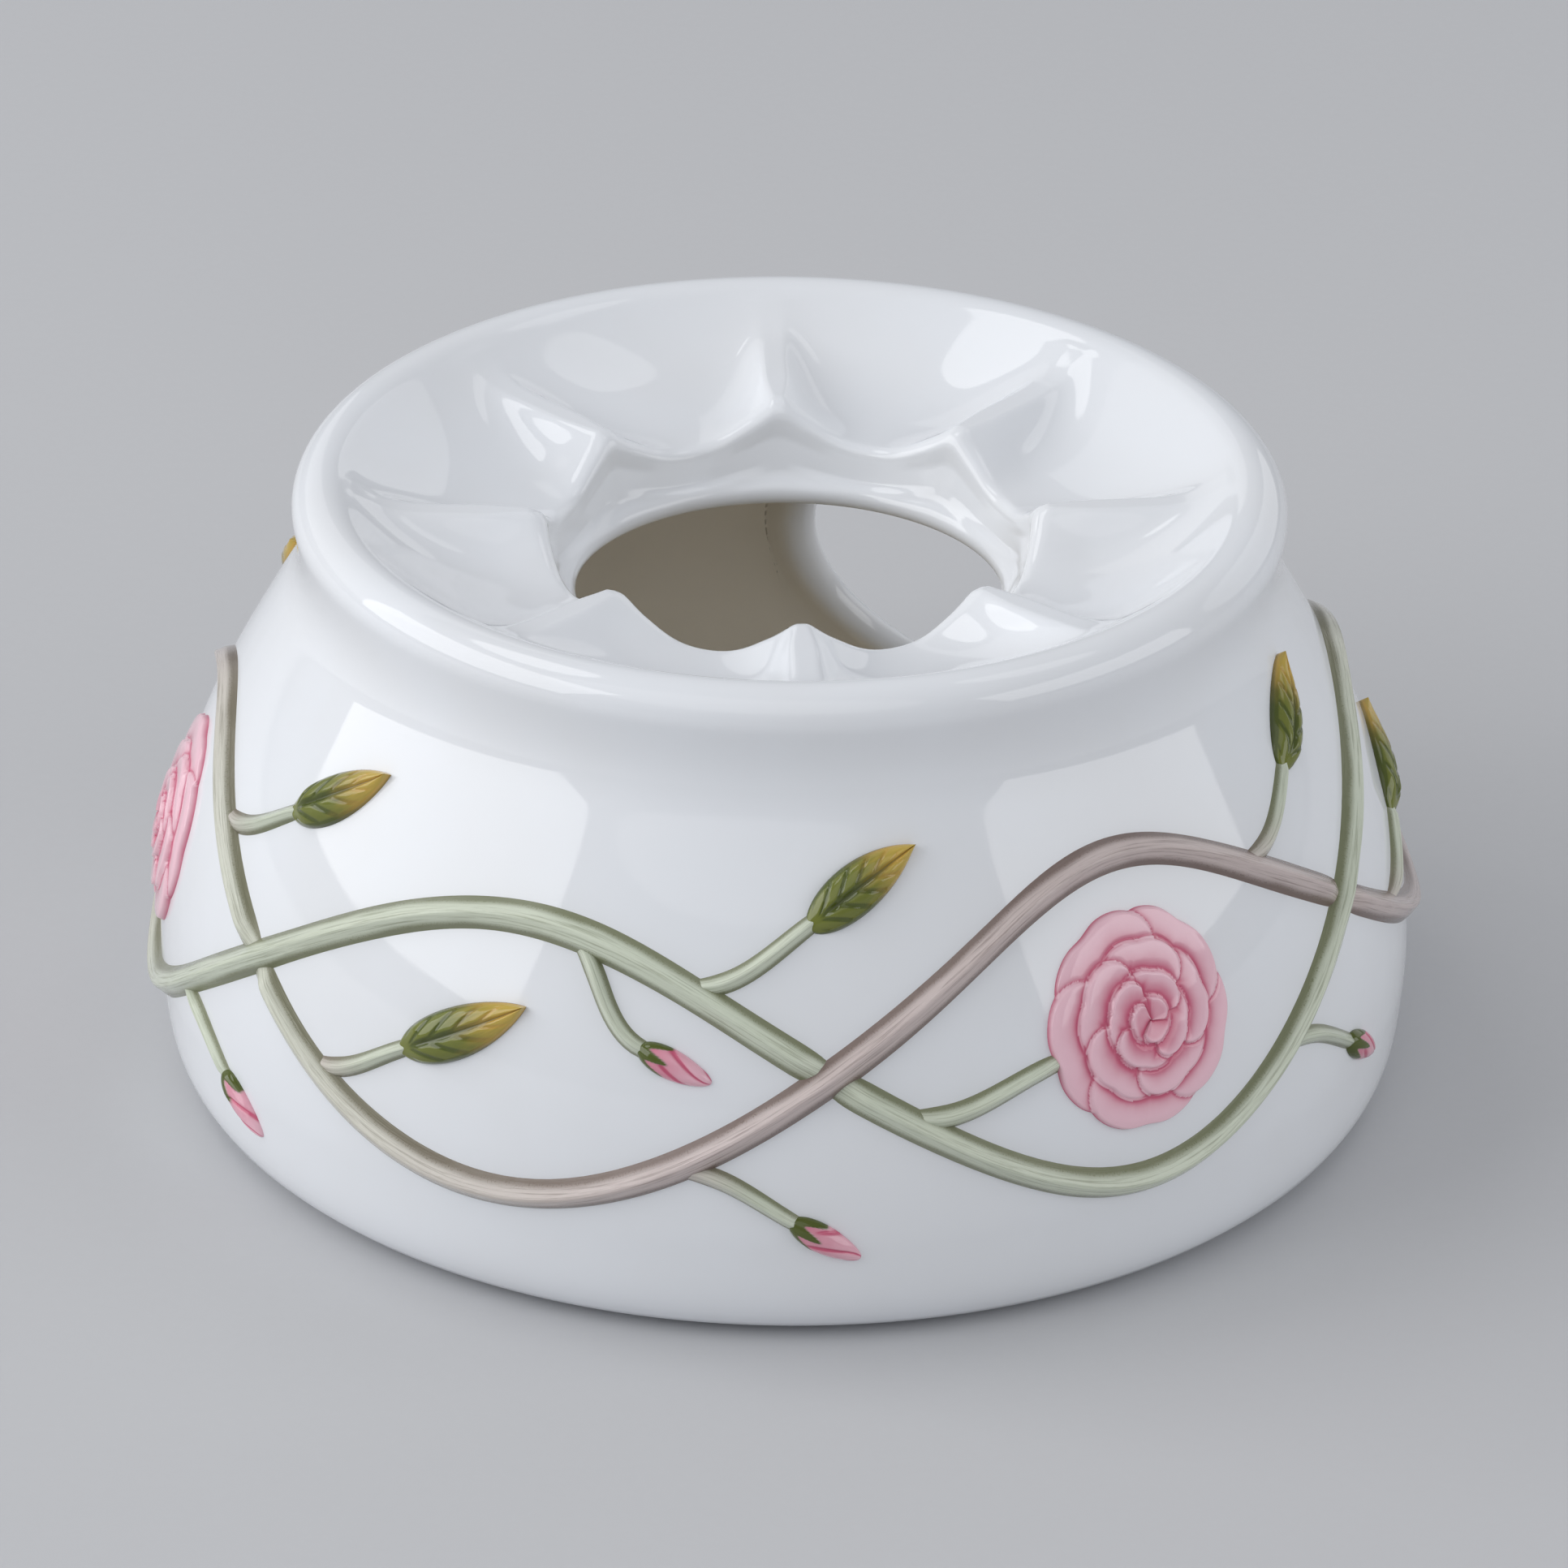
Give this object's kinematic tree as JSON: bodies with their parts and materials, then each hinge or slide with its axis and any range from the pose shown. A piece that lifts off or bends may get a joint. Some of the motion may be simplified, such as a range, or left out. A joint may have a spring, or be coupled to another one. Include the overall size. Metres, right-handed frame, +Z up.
{
  "type": "teapot warmer",
  "caption": "Round porcelain teapot warmer with a rolled rim, a ribbed dish round a scalloped heat hole, an oval rear window, a rose-vine relief and a lift-out tealight.",
  "frame": {"origin": "on the table under the middle of the round foot, on the body's axis", "axes": "+Z up along the body's axis, -Y towards the side the picture is taken from, the rear window at +Y turned 26 degrees towards +X"},
  "size_m": [0.1575, 0.156, 0.077],
  "materials": {
    "glaze": "gloss",
    "vine_green": "gloss",
    "vine_brown": "gloss",
    "leaf_green": "gloss",
    "rose_pink": "gloss",
    "candle_foil": "satin",
    "candle_wax": "satin",
    "wick_cotton": "matte",
    "holder_tin": "satin"
  },
  "bodies": {
    "warmer": {"porcelain_body": "glaze", "bud_1": "rose_pink", "bud_2": "rose_pink", "bud_3": "rose_pink", "bud_4": "rose_pink", "bud_5": "rose_pink", "bud_6": "rose_pink", "bud_7": "rose_pink", "leaf_1": "leaf_green", "leaf_2": "leaf_green", "leaf_3": "leaf_green", "leaf_4": "leaf_green", "leaf_5": "leaf_green", "leaf_6": "leaf_green", "leaf_7": "leaf_green", "rose_1": "rose_pink", "rose_2": "rose_pink", "rose_stalk_1": "vine_green", "rose_stalk_2": "vine_green", "stalk_1": "vine_green", "stalk_10": "vine_green", "stalk_11": "vine_green", "stalk_12": "vine_green", "stalk_13": "vine_green", "stalk_14": "vine_green", "stalk_2": "vine_green", "stalk_3": "vine_green", "stalk_4": "vine_green", "stalk_5": "vine_green", "stalk_6": "vine_green", "stalk_7": "vine_green", "stalk_8": "vine_green", "stalk_9": "vine_green", "vine_brown_1": "vine_brown", "vine_brown_2": "vine_brown", "vine_brown_3": "vine_brown", "vine_green_1": "vine_green", "vine_green_2": "vine_green", "vine_green_3": "vine_green"},
    "tealight": {"candle_cup": "candle_foil", "candle_wax": "candle_wax", "wick_holder": "holder_tin", "wick": "wick_cotton"}
  },
  "joints": [
    {"name": "tealight_lift_out", "type": "slide", "parent": "warmer", "child": "tealight", "axis": [0.4234, 0.8682, 0.2588], "range_m": [0, 0.11]}
  ]
}
